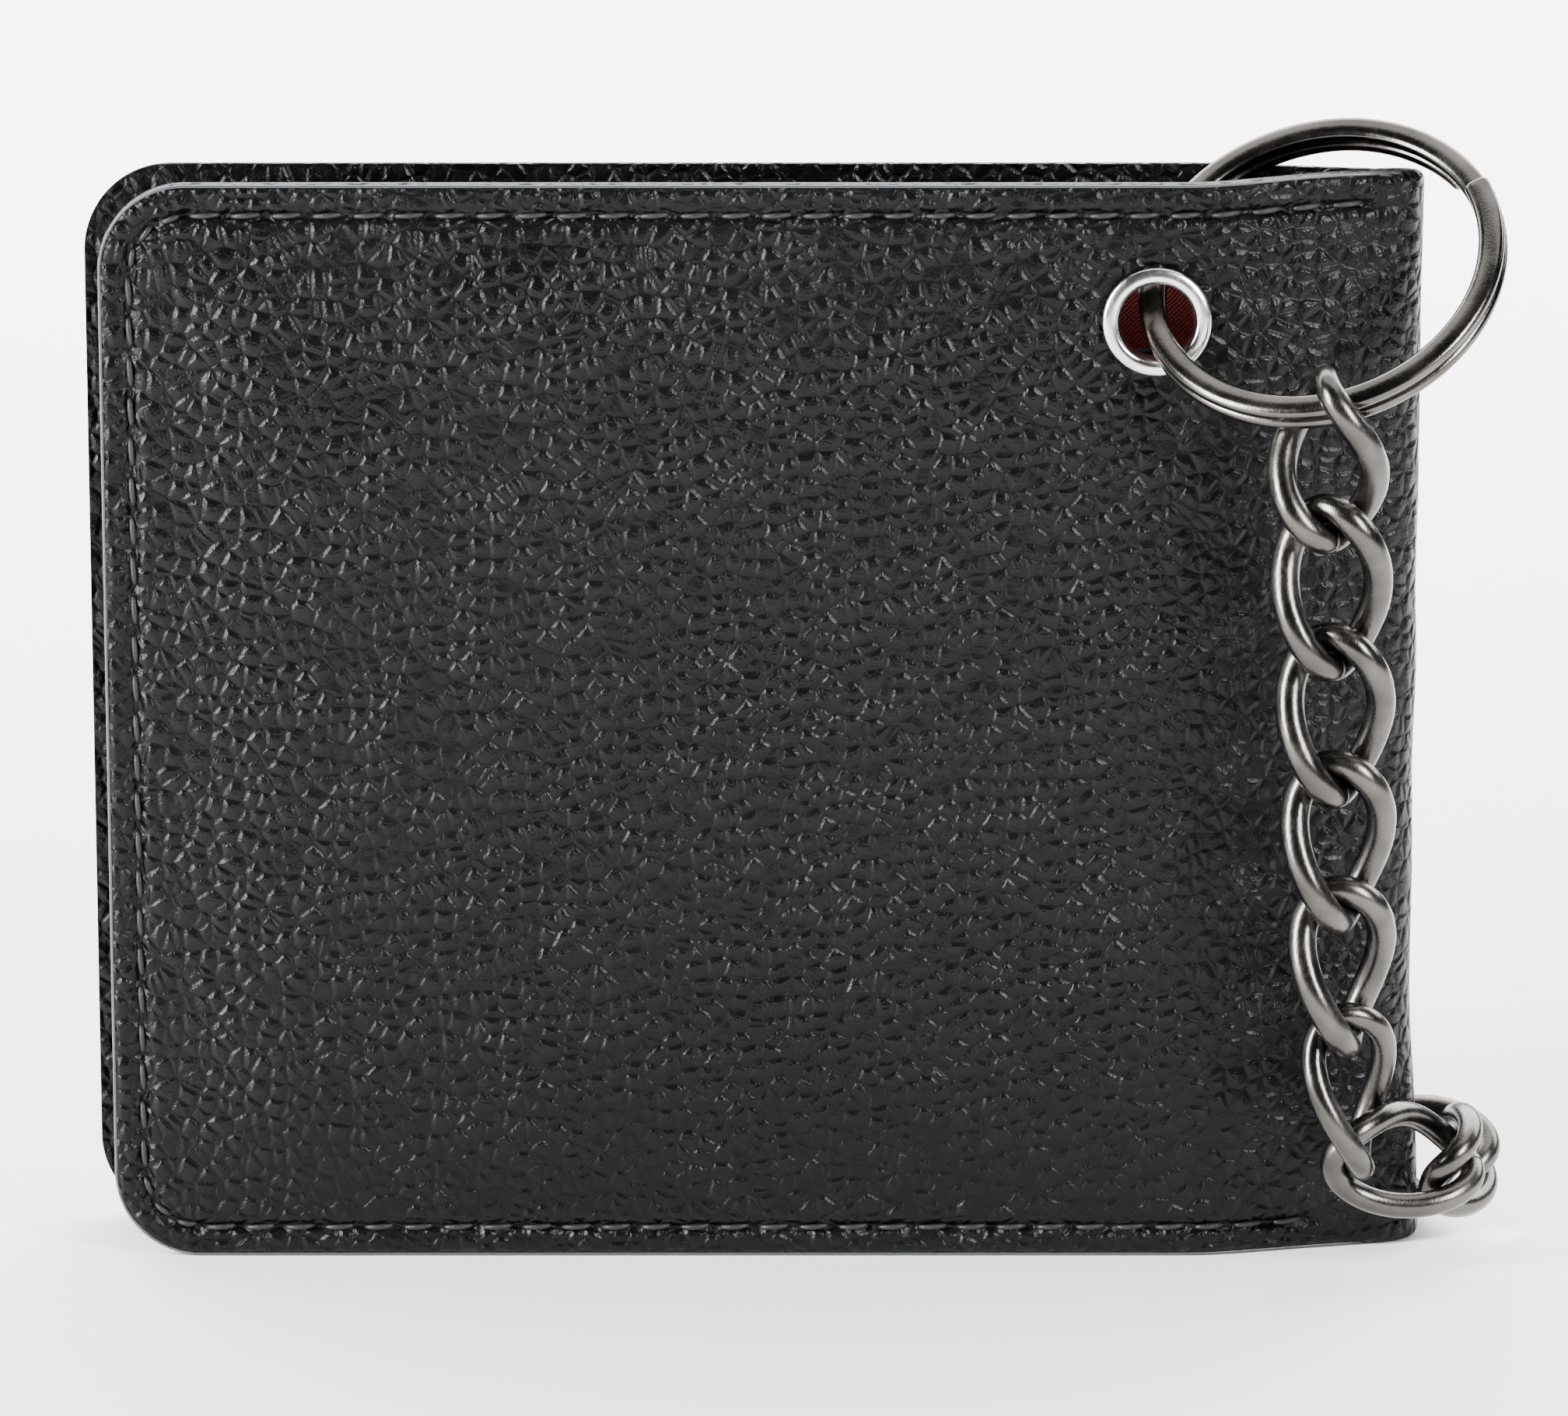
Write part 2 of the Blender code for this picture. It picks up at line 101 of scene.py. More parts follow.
def top_of(x, left):
    """Height of a cover's top edge at x."""
    rise = TOP_RISE if left == FRONT_LEFT else 0.0
    return HEIGHT + rise * smooth((np.asarray(x, float) - 36.0) / 15.0)


def rolled(away):
    """Drop of a turned edge, from the distance to that edge."""
    round_part = np.sqrt(np.maximum(EDGE_ROLL ** 2 - (EDGE_ROLL - away) ** 2, 0.0)) - EDGE_ROLL
    return np.where(away < EDGE_ROLL, round_part, 0.0)


# ---- mesh helpers ------------------------------------------------------------
def place(points):
    """Wallet millimetres to metres in the row frame."""
    return (np.asarray(points, float) + SHIFT) * MM


def new_piece(name, verts, faces, look, body=None, replaces=()):
    """One smooth-shaded mesh piece, riding on a body in place of CAD nodes."""
    mesh = bpy.data.meshes.new(name)
    mesh.from_pydata([tuple(v) for v in place(verts)], [], faces)
    bm = bmesh.new()
    bm.from_mesh(mesh)
    bmesh.ops.recalc_face_normals(bm, faces=bm.faces)
    bm.to_mesh(mesh)
    bm.free()
    for poly in mesh.polygons:
        poly.use_smooth = True
    mesh.materials.append(look)
    obj = bpy.data.objects.new(name, mesh)
    bpy.context.scene.collection.objects.link(obj)
    if body:
        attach(obj, body)
    if replaces:
        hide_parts(*replaces)
    return obj


def punch_hole(obj, near, far, radius, sides):
    """Cut the eyelet's hole through a piece, between two depths in front."""
    bar = Parts().tube([EYELET + (0.0, near, 0.0), EYELET + (0.0, far, 0.0)], radius, sides)
    tool = new_piece("punch", bar.verts, bar.faces, obj.data.materials[0])
    cut = obj.modifiers.new("hole", "BOOLEAN")
    cut.operation, cut.solver, cut.object = "DIFFERENCE", "EXACT", tool
    bpy.context.view_layer.update()
    graph = bpy.context.evaluated_depsgraph_get()
    mesh = bpy.data.meshes.new_from_object(obj.evaluated_get(graph))
    obj.modifiers.clear()
    obj.data = mesh
    bpy.data.objects.remove(tool, do_unlink=True)


def closed_grid(outer, inner):
    """Two point grids of the same shape, skinned and joined round their edge."""
    n, m = outer.shape[:2]
    verts = np.concatenate([outer.reshape(-1, 3), inner.reshape(-1, 3)])
    base = n * m
    faces = []
    for i in range(n - 1):
        for j in range(m - 1):
            a = i * m + j
            faces.append((a, a + m, a + m + 1, a + 1))
            faces.append((base + a, base + a + 1, base + a + m + 1, base + a + m))
    rim = [i * m for i in range(n)] + [(n - 1) * m + j for j in range(1, m)]
    rim += [i * m + m - 1 for i in range(n - 2, -1, -1)] + [j for j in range(m - 2, 0, -1)]
    for a, b in zip(rim, rim[1:] + rim[:1]):
        faces.append((a, b, base + b, base + a))
    return verts, faces


class Parts:
    """Collects several closed bodies into one mesh."""

    def __init__(self):
        self.verts, self.faces = [], []

    def rings(self, rings, closed=False):
        """Skin rings of points; open ends are capped with a fan."""
        base, count = len(self.verts), len(rings[0])
        for ring in rings:
            self.verts.extend(ring)
        pairs = [(i, i + 1) for i in range(len(rings) - 1)]
        if closed:
            pairs.append((len(rings) - 1, 0))
        for a, b in pairs:
            for i in range(count):
                j = (i + 1) % count
                self.faces.append((base + a * count + i, base + a * count + j,
                                   base + b * count + j, base + b * count + i))
        if not closed:
            for a in (0, len(rings) - 1):
                middle = np.mean(rings[a], axis=0)
                self.verts.append(middle)
                for i in range(count):
                    self.faces.append((base + a * count + i, base + a * count + (i + 1) % count,
                                       len(self.verts) - 1))
        return self

    def tube(self, points, radii, sides=12, closed=False, first=(0.0, 0.0, 1.0), flatten=1.0):
        """Round bar through points; flatten squeezes it across the first axis."""
        points = [np.asarray(p, float) for p in points]
        radii = [radii] * len(points) if np.isscalar(radii) else radii
        across, rings, count = np.asarray(first, float), [], len(points)
        for i, p in enumerate(points):
            before = points[(i - 1) % count] if closed or i else points[0]
            after = points[(i + 1) % count] if closed or i < count - 1 else points[-1]
            along = unit(after - before)
            across = unit(across - along * across.dot(along))
            side = np.cross(along, across)
            rings.append([p + (across * math.cos(t) * flatten + side * math.sin(t)) * radii[i]
                          for t in np.arange(sides) * math.tau / sides])
        return self.rings(rings, closed)

    def lathe(self, profile, centre, axis, steps):
        """Turned body from a closed profile of (radius, height along the axis)."""
        axis = unit(axis)
        helper = np.array([1.0, 0.0, 0.0]) if abs(axis[0]) < 0.9 else np.array([0.0, 0.0, 1.0])
        across = unit(helper - axis * helper.dot(axis))
        side = np.cross(axis, across)
        rings = []
        for t in np.arange(steps) * math.tau / steps:
            out = across * math.cos(t) + side * math.sin(t)
            rings.append([np.asarray(centre) + out * r + axis * h for r, h in profile])
        return self.rings(rings, closed=True)


def rounded(profile, radius, steps=4):
    """A closed (radius, height) profile with its corners turned."""
    out, count = [], len(profile)
    for i in range(count):
        p = np.array(profile[i], float)
        a, b = np.array(profile[i - 1], float), np.array(profile[(i + 1) % count], float)
        cut = min(radius, np.linalg.norm(a - p) * 0.45, np.linalg.norm(b - p) * 0.45)
        start, end = p + unit(a - p) * cut, p + unit(b - p) * cut
        for k in range(steps + 1):
            t = k / steps
            out.append(tuple((1 - t) ** 2 * start + 2 * t * (1 - t) * p + t * t * end))
    return out


# ---- materials ---------------------------------------------------------------
class Look:
    """A node material under construction."""

    def __init__(self, name, **values):
        self.mat = bpy.data.materials.new(name)
        self.mat.use_nodes = True
        self.tree = self.mat.node_tree
        self.shader = self.tree.nodes["Principled BSDF"]
        for socket, value in values.items():
            self.shader.inputs[socket.replace("_", " ")].default_value = value
        self.where = self.node("ShaderNodeTexCoord").outputs["Object"]

    def node(self, kind, inputs=None, **settings):
        node = self.tree.nodes.new(kind)
        for key, value in settings.items():
            setattr(node, key, value)
        for key, value in (inputs or {}).items():
            self.put(node.inputs[key], value)
        return node

    def put(self, socket, value):
        if isinstance(value, bpy.types.NodeSocket):
            self.tree.links.new(value, socket)
        else:
            socket.default_value = value

    def maths(self, operation, *values):
        node = self.node("ShaderNodeMath", operation=operation)
        for socket, value in zip(node.inputs, values):
            self.put(socket, value)
        return node.outputs[0]

    def spread(self, value, low, high, to_low, to_high):
        node = self.node("ShaderNodeMapRange", {"Value": value, "From Min": low, "From Max": high,
                                                "To Min": to_low, "To Max": to_high})
        node.interpolation_type = "SMOOTHSTEP"
        return node.outputs["Result"]

    def noise(self, scale, detail=2.0, where=None, roughness=0.5):
        return self.node("ShaderNodeTexNoise", {"Vector": where or self.where, "Scale": scale,
                                                "Detail": detail, "Roughness": roughness}).outputs

    def voronoi(self, scale, feature, where=None):
        cells = self.node("ShaderNodeTexVoronoi",
                          {"Vector": where or self.where, "Scale": scale}, feature=feature)
        return cells.outputs["Distance"]

    def warped(self, scale, amount):
        """Object coordinates pushed about by noise, in metres."""
        noise = self.noise(scale, 1.0)["Color"]
        centred = self.node("ShaderNodeVectorMath", {0: noise, 1: (0.5, 0.5, 0.5)},
                            operation="SUBTRACT")
        scaled = self.node("ShaderNodeVectorMath", {0: centred.outputs[0]}, operation="SCALE")
        scaled.inputs["Scale"].default_value = amount
        return self.node("ShaderNodeVectorMath", {0: self.where, 1: scaled.outputs[0]},
                         operation="ADD").outputs[0]

    def bump(self, height, strength, distance):
        return self.node("ShaderNodeBump", {"Height": height, "Strength": strength,
                                            "Distance": distance}).outputs["Normal"]

    def colours(self, factor, first, second):
        node = self.node("ShaderNodeMix", data_type="RGBA")
        self.put(node.inputs[0], factor)
        node.inputs[6].default_value = (*first, 1.0)
        node.inputs[7].default_value = (*second, 1.0)
        return node.outputs[2]

    def finish(self, colour=None, roughness=None, normal=None):
        for socket, value in (("Base Color", colour), ("Roughness", roughness), ("Normal", normal)):
            if value is not None:
                self.put(self.shader.inputs[socket], value)
        return self.mat


def leather(name, dark, light, grain, depth, gloss, level):
    """Pebbled leather: flat-topped grains with rounded rims, sunk creases with painted shade in
    them, pores.
    """
    look = Look(name, Metallic=0.0, Specular_IOR_Level=level)
    where = look.warped(0.45 / grain, grain * 0.45)
    edge = look.voronoi(1.0 / grain, "DISTANCE_TO_EDGE", where)
    rim = look.spread(edge, 0.0, 0.30, 0.0, 1.0)
    dome = look.spread(look.voronoi(1.0 / grain, "F1", where), 0.0, 0.9, 1.0, 0.0)
    small = look.spread(look.voronoi(2.4 / grain, "DISTANCE_TO_EDGE", where), 0.0, 0.22, 0.0, 1.0)
    fine = look.noise(6.0 / grain, 4.0, roughness=0.65)["Fac"]
    broad = look.noise(0.30 / grain, 2.0)["Fac"]
    height = look.maths("MULTIPLY_ADD", dome, 0.50, look.maths("MULTIPLY", rim, 0.50))
    height = look.maths("MULTIPLY", height, look.spread(broad, 0.3, 0.7, 0.75, 1.1))
    height = look.maths("MULTIPLY_ADD", small, 0.06, height)
    height = look.maths("MULTIPLY_ADD", fine, 0.08, height)
    normal = look.bump(height, 1.0, depth)
    patch = look.noise(55.0, 3.0)["Fac"]
    # painted shade: the colour darkens in the creases between grains; the patch noise is tone that
    # varies at random
    shade = look.maths("MULTIPLY", rim, look.spread(patch, 0.3, 0.7, 0.6, 1.0))
    rough = look.maths("MULTIPLY_ADD", look.spread(patch, 0.25, 0.75, 0.0, 1.0), 0.07, gloss)
    rough = look.maths("MULTIPLY_ADD", look.maths("SUBTRACT", 1.0, rim), 0.12, rough)
    return look.finish(look.colours(shade, dark, light), rough, normal)


def woven(name, dark, light, pitch):
    """Plain-weave lining cloth."""
    look = Look(name, Metallic=0.0, Sheen_Weight=0.25, Specular_IOR_Level=0.25)
    split = look.node("ShaderNodeSeparateXYZ", {0: look.warped(900.0, pitch * 0.5)})
    turn = math.tau / pitch
    warp = look.maths("SINE", look.maths("MULTIPLY", split.outputs["X"], turn))
    weft = look.maths("SINE", look.maths("MULTIPLY", split.outputs["Z"], turn))
    cross = look.spread(look.maths("MULTIPLY", warp, weft), -1.0, 1.0, 0.0, 1.0)
    patch = look.noise(120.0, 3.0)["Fac"]
    shade = look.maths("MULTIPLY", cross, look.spread(patch, 0.2, 0.8, 0.6, 1.0))
    return look.finish(look.colours(shade, dark, light), look.spread(patch, 0.2, 0.8, 0.6, 0.78),
                       look.bump(cross, 0.7, 0.00012))


def thread(name, dark, light):
    look = Look(name, Metallic=0.0, Specular_IOR_Level=0.4)
    fibre = look.noise(9000.0, 2.0)["Fac"]
    return look.finish(look.colours(fibre, dark, light), look.spread(fibre, 0.3, 0.7, 0.42, 0.62),
                       look.bump(fibre, 0.6, 0.00006))


def plated(name, dark, light, low, high, scratch):
    """Plated metal: soft mottling, fine scratches, gloss that varies."""
    look = Look(name, Metallic=1.0)
    mottle = look.noise(260.0, 4.0)["Fac"]
    long = look.node("ShaderNodeMapping", {"Vector": look.where, "Scale": (1.0, 1.0, 0.12),
                                           "Rotation": (0.4, 0.3, 0.0)}).outputs[0]
    lines = look.noise(6500.0, 2.0, long)["Fac"]
    rough = look.maths("MULTIPLY_ADD", look.spread(lines, 0.35, 0.65, 0.0, 1.0), 0.05,
                       look.spread(mottle, 0.3, 0.7, low, high))
    return look.finish(look.colours(look.spread(mottle, 0.3, 0.7, 0.0, 1.0), dark, light), rough,
                       look.bump(lines, scratch, 0.00003))


GUNMETAL = (0.070, 0.065, 0.060), (0.110, 0.102, 0.094)
OUTER = leather("outer_leather", (0.0006, 0.0007, 0.0007), (0.0020, 0.0021, 0.0022),
                grain=0.00150, depth=0.00026, gloss=0.23, level=0.145)
INNER = leather("inner_leather", (0.0010, 0.0010, 0.0010), (0.0034, 0.0033, 0.0032),
                grain=0.0009, depth=0.00011, gloss=0.36, level=0.22)
LINING = woven("red_lining", (0.055, 0.003, 0.004), (0.26, 0.013, 0.016), 0.00042)
# painted highlight: this grey is much lighter than the leather and stands in for the light along
# the turned edge; only its gloss is real
EDGE_HIGHLIGHT = Look("painted_edge_highlight", Base_Color=(0.045, 0.048, 0.052, 1.0), Roughness=0.3, Metallic=0.0)
EDGE_HIGHLIGHT = EDGE_HIGHLIGHT.finish(roughness=EDGE_HIGHLIGHT.spread(EDGE_HIGHLIGHT.noise(1500.0, 3.0)["Fac"], 0.3, 0.7, 0.25, 0.42))
THREAD = thread("thread", (0.0015, 0.0015, 0.0015), (0.006, 0.006, 0.006))
NICKEL = plated("nickel", (0.62, 0.61, 0.585), (0.78, 0.77, 0.745), 0.13, 0.22, 0.25)
RING = plated("ring_steel", *GUNMETAL, 0.14, 0.22, 0.3)
CHAIN = plated("chain_steel", *GUNMETAL, 0.19, 0.28, 0.35)
SNAP = plated("snap_steel", *GUNMETAL, 0.17, 0.26, 0.3)


# ---- outer leather: front cover, spine and back cover in one piece -----------
def seam_path(left):
    """Needle holes along the stitch line: top edge, free edge, bottom edge."""
    radius = CORNER - SEAM_INSET
    points = []
    count = round((FOLD_X - 1.0 - left - CORNER) / STITCH)
    for x in np.linspace(FOLD_X - 1.0, left + CORNER, count + 1):
        points.append((x, float(top_of(x, left)) - SEAM_INSET))
    for k in (1, 2):
        turn = math.radians(90.0 + 30.0 * k)
        points.append((left + CORNER + radius * math.cos(turn),
                       HEIGHT - CORNER + radius * math.sin(turn)))
    rows = round((HEIGHT - 2 * CORNER) / STITCH)
    points += [(left + SEAM_INSET, z) for z in np.linspace(HEIGHT - CORNER, CORNER, rows + 1)]
    for k in (1, 2):
        turn = math.radians(180.0 + 30.0 * k)
        points.append((left + CORNER + radius * math.cos(turn), CORNER + radius * math.sin(turn)))
    count = round((48.0 - left - CORNER) / STITCH)
    points += [(x, SEAM_INSET) for x in np.linspace(left + CORNER, 48.0, count + 1)]
    return np.array(points)


def cover_columns(left):
    """Stations from the free edge to the fold, close together on the corner."""
    corner = [left + CORNER * (1.0 - math.cos(t)) for t in np.linspace(0.0, math.pi / 2, 26)]
    return np.concatenate([corner, np.linspace(corner[-1], FOLD_X, 145)[1:]])


def cover_relief(x, z, left):
    """Outer face of a cover: rolled edge, sunk seam, padding, slight waves."""
    flat = np.minimum(z, top_of(x, left) - z)
    run = x - left
    in_corner = (run < CORNER) & (flat < CORNER)
    away = np.where(in_corner, CORNER - np.hypot(CORNER - run, CORNER - flat),
                    np.minimum(run, flat))
    away = np.maximum(away, 0.0)
    # the seam stops short of the fold, sooner at the foot than at the top
    stop = np.where(z < HEIGHT / 2, 47.5, 52.0)
    groove = NEEDLE_DEPTH * np.exp(-((away - SEAM_INSET) / 0.42) ** 2)
    groove *= 1.0 - smooth((x - stop) / 1.5)
    pad = 0.20 * smooth((away - 2.9) / 1.0) + 0.62 * smooth((away - 3.0) / 13.0)
    # fuller towards the free edge, where the wallet is thickest
    pad += (0.45 * smooth((run - 3.0) / 16.0) * (1.0 - smooth((x + 30.0) / 50.0))
            * smooth(away / 12.0))
    out = rolled(away) - groove + pad
    wrinkle = 0.085 * ripple(x, z, 21.0, 3) + 0.035 * ripple(x, z, 7.0, 4)
    out += wrinkle * smooth(away / 5.0)
    # the leather is drawn in round the eyelet and wrinkles a little beside it
    if left == FRONT_LEFT:
        far = np.hypot(x - EYELET[0], z - EYELET[2])
        out -= 0.32 * np.exp(-((far - 4.2) / 2.4) ** 2)
        round_it = np.arctan2(z - EYELET[2], x - EYELET[0])
        out += 0.07 * np.exp(-((far - 8.5) / 3.0) ** 2) * np.sin(9.0 * round_it)
    return out


def pucker(x, z, left):
    """A dimple in the leather at each needle hole."""
    out = np.zeros(x.shape)
    for hx, hz in seam_path(left):
        close = (np.abs(x - hx) < 1.6) & (np.abs(z - hz) < 1.6)
        far = (x[close] - hx) ** 2 + (z[close] - hz) ** 2
        out[close] -= 0.30 * np.exp(-far / 0.30)
    return out


def outer_wrap():
    """Both covers and the spine, skinned as one sheet that wraps round the fold line."""
    rows_near = np.array([0.0, 0.05, 0.15, 0.3, 0.5, 0.75, 1.05, 1.5, 1.95, 2.2, 2.45, 2.7, 2.95,
                          3.2, 3.5, 4.0, 4.6])
    middle = np.linspace(5.3, HEIGHT - 5.3, 122)
    columns = []
    for left, facing in ((FRONT_LEFT, -1.0), (BACK_LEFT, 1.0)):
        xs = cover_columns(left)
        cut = np.where(xs - left < CORNER,
                       CORNER - np.sqrt(np.maximum(CORNER ** 2 - (CORNER - (xs - left)) ** 2, 0.0)),
                       0.0)
        side = []
        for x, c in zip(xs, cut):
            low, high = c, float(top_of(x, left)) - c
            z = np.concatenate([low + rows_near, low + (high - low) * (middle / HEIGHT),
                                (high - rows_near)[::-1]])
            z = np.maximum.accumulate(z)
            xx = np.full(z.shape, x)
            lift = cover_relief(xx, z, left) + pucker(xx, z, left)
            half = float(half_thickness(x))
            outer = np.stack([xx, facing * (half + lift), z], 1)
            inner_z = np.clip(z, low + 0.02, high - 0.02)
            inner = np.stack([xx, np.full(z.shape, facing * (half - SHELL + 0.12)), inner_z], 1)
            side.append((outer, inner))
        columns.append(side)
    front, back = columns
    spine = []
    for turn in np.radians(np.linspace(-84.0, 84.0, 29)):
        blend_z = (math.sin(turn) + 1.0) / 2
        high = HEIGHT + TOP_RISE * (1.0 - blend_z) ** 0.7
        z = np.concatenate([rows_near, high * (middle / HEIGHT), (high - rows_near)[::-1]])
        bulge = 1.15 * (1.0 - smooth(z / 26.0))
        edge_away = np.minimum(z, high - z)
        soft = 0.10 * ripple(np.full(z.shape, 60.0 + 3.9 * turn), z, 17.0, 5)
        pad = 0.5 * smooth((edge_away - 3.0) / 10.0) * (1.0 - abs(math.cos(turn)) * 0.8)
        outer_r = 4.0 + rolled(edge_away) + soft
        x = FOLD_X + 0.15 + (outer_r + bulge) * math.cos(turn)
        y = (outer_r - 0.1 + pad) * math.sin(turn)
        inner_x = FOLD_X + 0.15 + (2.3 + bulge * 0.9) * math.cos(turn)
        inner_y = np.full(z.shape, 2.15 * math.sin(turn))
        spine.append((np.stack([x, y, z], 1),
                      np.stack([inner_x, inner_y, np.clip(z, 0.02, high - 0.02)], 1)))
    order = front + spine + back[::-1]
    outer = np.stack([o for o, _ in order])
    inner = np.stack([i for _, i in order])
    verts, faces = closed_grid(outer, inner)
    wrap = new_piece("outer_leather", verts, faces, OUTER)
    punch_hole(wrap, -10.5, -3.6, 3.75, 48)
    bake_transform(wrap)
    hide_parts("front_cover", "back_cover", "spine_leather")


def stitches(name, left, facing, body, node):
    """Separate lock stitches, each sinking into its two needle holes."""
    parts = Parts()
    holes = seam_path(left)
    for a, b in zip(holes, holes[1:]):
        along = unit(b - a)
        side = np.array([-along[1], along[0]]) * 0.10
        start, end = a + along * 0.42 - side, b - along * 0.42 + side
        points, radii = [], []
        for t in np.linspace(0.0, 1.0, 9):
            x, z = start + (end - start) * t
            arch = math.sin(math.pi * t)
            base = float(half_thickness(x)) - NEEDLE_DEPTH
            points.append((x, facing * (base - 0.32 + 0.56 * arch ** 0.45), z))
            radii.append(0.17 + 0.10 * arch ** 0.5)
        parts.tube(points, radii, 8, first=(0.0, 1.0, 0.0))
    new_piece(name, parts.verts, parts.faces, THREAD, body, (node,))


def edge_highlight_bead(name, left, facing, body):
    """A lighter, glossy bead round three sides along the turned edge of the leather: a painted
    highlight on the fold of the edge, whose gloss also catches the lamps.
    """
    inset, radius = 0.22, CORNER - 0.22
    turns = np.linspace(math.pi / 2, math.pi, 20)
    line = [(x, float(top_of(x, left)) - inset) for x in np.linspace(FOLD_X, left + CORNER, 90)]
    line += [(left + CORNER + radius * math.cos(t), HEIGHT - CORNER + radius * math.sin(t))
             for t in turns[1:]]
    line += [(left + inset, z) for z in np.linspace(HEIGHT - CORNER, CORNER, 60)[1:]]
    line += [(left + CORNER + radius * math.cos(t), CORNER - radius * math.sin(t))
             for t in turns[::-1][1:]]
    line += [(x, inset) for x in np.linspace(left + CORNER, FOLD_X, 90)[1:]]
    points = [(x, facing * (float(half_thickness(x)) - NEEDLE_DEPTH), z) for x, z in line]
    parts = Parts().tube(points, 0.15, 8, first=(0.0, 1.0, 0.0))
    new_piece(name, parts.verts, parts.faces, EDGE_HIGHLIGHT, body)


# ---- plies inside ------------------------------------------------------------
def ply(name, span, depths, tops, facing, body, look, node, corner, hem, seed, hole=None):
    """A thin ply with turned corners and edges; its top may be a folded hem."""
    x0, x1 = span
    low, high = tops
    inset = np.array([0.0, 0.06, 0.18, 0.35, 0.7, 1.2, 1.6, 2.0, 2.6])
    xs = np.concatenate([x0 + corner * (1 - np.cos(np.linspace(0, math.pi / 2, 11))),
                         np.linspace(x0 + corner, x1 - 2.6, 70)[1:], (x1 - inset)[::-1][1:]])
    outer, inner = [], []
    for x in xs:
        run = x - x0
        short = max(corner - run, 0.0)
        cut = corner - math.sqrt(max(corner ** 2 - short ** 2, 0.0))
        bottom, top = low + cut, high - cut
        z = np.concatenate([bottom + inset, np.linspace(bottom + 2.7, top - 2.7, 56),
                            (top - inset)[::-1]])
        xx = np.full(z.shape, x)
        scale = (float(half_thickness(x)) - SHELL) / (HALF_THICK - SHELL)
        middle = (depths[0] + depths[1]) / 2 * scale
        thick = (depths[0] - depths[1]) / 2 * scale
        away = np.minimum(np.minimum(z - bottom, top - z), min(run, x1 - x))
        near = np.clip(away / CUT_ROLL, 0.0, 1.0)
        body_half = thick * (0.15 + 0.85 * np.sqrt(near * (2.0 - near)))
        wave = 0.045 * ripple(xx, z, 18.0, seed)
        crease = 0.09 * np.exp(-((top - z - 1.9) / 0.3) ** 2) if hem else 0.0
        outer.append(np.stack([xx, facing * (middle + wave + body_half), z], 1))
        inner.append(np.stack([xx, facing * (middle + wave - body_half + crease), z], 1))
    verts, faces = closed_grid(np.stack(outer), np.stack(inner))
    obj = new_piece(name, verts, faces, look, body, (node,))
    if hole:
        punch_hole(obj, -9.0, -1.0, hole, 40)


# ---- metal -------------------------------------------------------------------
def eyelet():
    """Rolled flange and barrel in front, flat washer behind."""
    face = -(HALF_THICK + 0.55) - 0.05
    flange = [(4.70, 0.0), (4.72, 0.22), (4.60, 0.42), (4.30, 0.56), (3.95, 0.62), (3.65, 0.58),
              (3.42, 0.44), (3.28, 0.2), (3.22, -0.2), (3.2, -1.9), (3.26, -2.2), (3.42, -2.3),
              (3.52, -2.2), (3.5, -0.1)]
    parts = Parts().lathe(rounded(flange, 0.12, 3), (EYELET[0], face, EYELET[2]),
                          (0.0, -1.0, 0.0), 96)
    new_piece("eyelet_shell", parts.verts, parts.faces, NICKEL, "front_half", ("eyelet",))
    back = -(HALF_THICK - SHELL) + 0.23
    washer = [(3.62, 0.0), (4.9, 0.0), (4.9, 0.28), (4.3, 0.42), (3.62, 0.42)]
    parts = Parts().lathe(rounded(washer, 0.1, 3), (EYELET[0], back, EYELET[2]),
                          (0.0, 1.0, 0.0), 72)
    new_piece("eyelet_back", parts.verts, parts.faces, NICKEL, "front_half",
              ("eyelet_washer",))


def key_ring():
    """Two coils of flattened wire with square-cut, eased ends."""
    centre, radius = np.array([47.9, -7.85, 87.9]), 14.98
    half_wide, half_high, pitch = 1.12, 0.67, 1.36       # the wire's section, and its coils' step
    tilt, turn = math.radians(48.4), math.radians(-21.0)
    axle = np.array([math.sin(tilt) * math.sin(turn), -math.cos(tilt),
                     math.sin(tilt) * math.cos(turn)])
    across = unit(np.cross((0.0, 0.0, 1.0), axle))
    slope = np.cross(axle, across)
    turns = np.concatenate([[0.0, 0.0008, 0.0025], np.linspace(0.006, 1.964, 300),
                            [1.9675, 1.9692, 1.97]])
    ease = np.ones(len(turns))
    ease[:3], ease[-3:] = (0.78, 0.92, 0.985), (0.985, 0.92, 0.78)
    rings = []
    for t, e in zip(turns, ease):
        angle = math.radians(48.0) + math.tau * t
        out = across * math.cos(angle) + slope * math.sin(angle)
        shift = pitch * (t - 0.985)
        ring = []
        for k in np.arange(20) * math.tau / 20:
            c, s = math.cos(k), math.sin(k)
            r = half_wide * math.copysign(abs(c) ** 0.75, c) * e
            a = half_high * math.copysign(abs(s) ** 0.75, s) * e
            ring.append(centre + out * (radius + r) + axle * (shift + a))
        rings.append(ring)
    parts = Parts().rings(rings)
    new_piece("split_ring", parts.verts, parts.faces, RING, "ring", ("key_ring",))


# Where each link hangs on the one before it, then the snap's place.
HANG = np.array([
    (47.6, -18.75, 79.0), (48.1, -18.1, 67.75), (48.7, -17.4, 56.5), (49.2, -16.7, 45.25),
    (49.7, -16.0, 34.0), (50.4, -15.3, 22.75), (51.57, -14.09, 10.99), (60.15, -9.83, 9.24),
    (62.77, 0.13, 7.03), (55.71, 7.91, 5.82), (45.3, 11.8, 5.5), (34.1, 13.2, 5.3),
    (22.95, 14.0, 5.3), (11.75, 14.7, 5.3), (0.55, 15.3, 5.3), (-10.7, 15.8, 5.3)])
SLACK = {6: (51.8, -14.4, 11.45)}       # link 6 ends a little short of the next one's place
